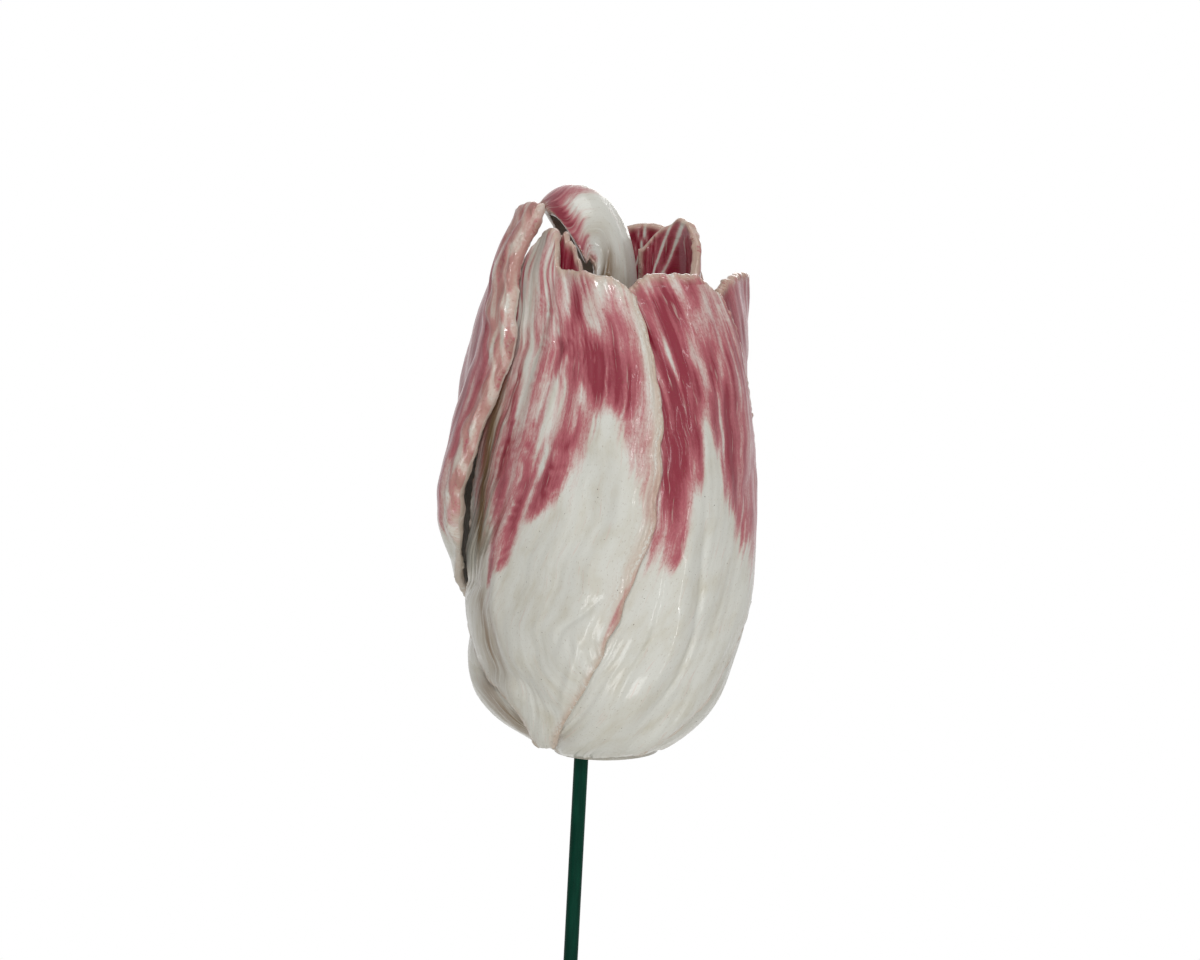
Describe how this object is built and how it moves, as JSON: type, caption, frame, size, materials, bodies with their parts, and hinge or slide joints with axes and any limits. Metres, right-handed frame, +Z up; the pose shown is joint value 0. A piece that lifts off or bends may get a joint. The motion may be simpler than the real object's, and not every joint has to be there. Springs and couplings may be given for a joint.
{
  "type": "ceramic tulip",
  "caption": "Glazed ceramic tulip head of overlapping petals round a hollow cup, with a blind socket that pushes onto a straight coated rod.",
  "frame": {"origin": "centre of the rod's flat lower end", "axes": "+Z up along the rod, -Y towards the front of the flower, +X to the right of the flower as seen from the front"},
  "size_m": [0.0615, 0.0574, 0.381],
  "materials": {
    "wire": "drawn steel wire, cut at both ends",
    "coating": "dark green plastic coating, satin gloss",
    "cream_glaze": "glossy cream-white glaze with fine iron specks",
    "rose_glaze": "rose and crimson brushed lengthwise over cream glaze",
    "bare_clay": "unglazed fired clay"
  },
  "bodies": {
    "stem": {"stem_wire": "wire", "stem_coating": "coating"},
    "flower_head": {"flower_core": "cream_glaze", "socket_boss": "bare_clay", "petal_front": "rose_glaze", "petal_right": "rose_glaze", "petal_far_right": "rose_glaze", "petal_back": "rose_glaze", "petal_left": "rose_glaze", "petal_hood": "cream_glaze", "petal_back_right": "rose_glaze", "petal_inner_ragged": "rose_glaze"}
  },
  "joints": [
    {"name": "head_lift", "type": "slide", "parent": "stem", "child": "flower_head", "axis": [0, 0, 1], "range_m": [0, 0.036]}
  ]
}
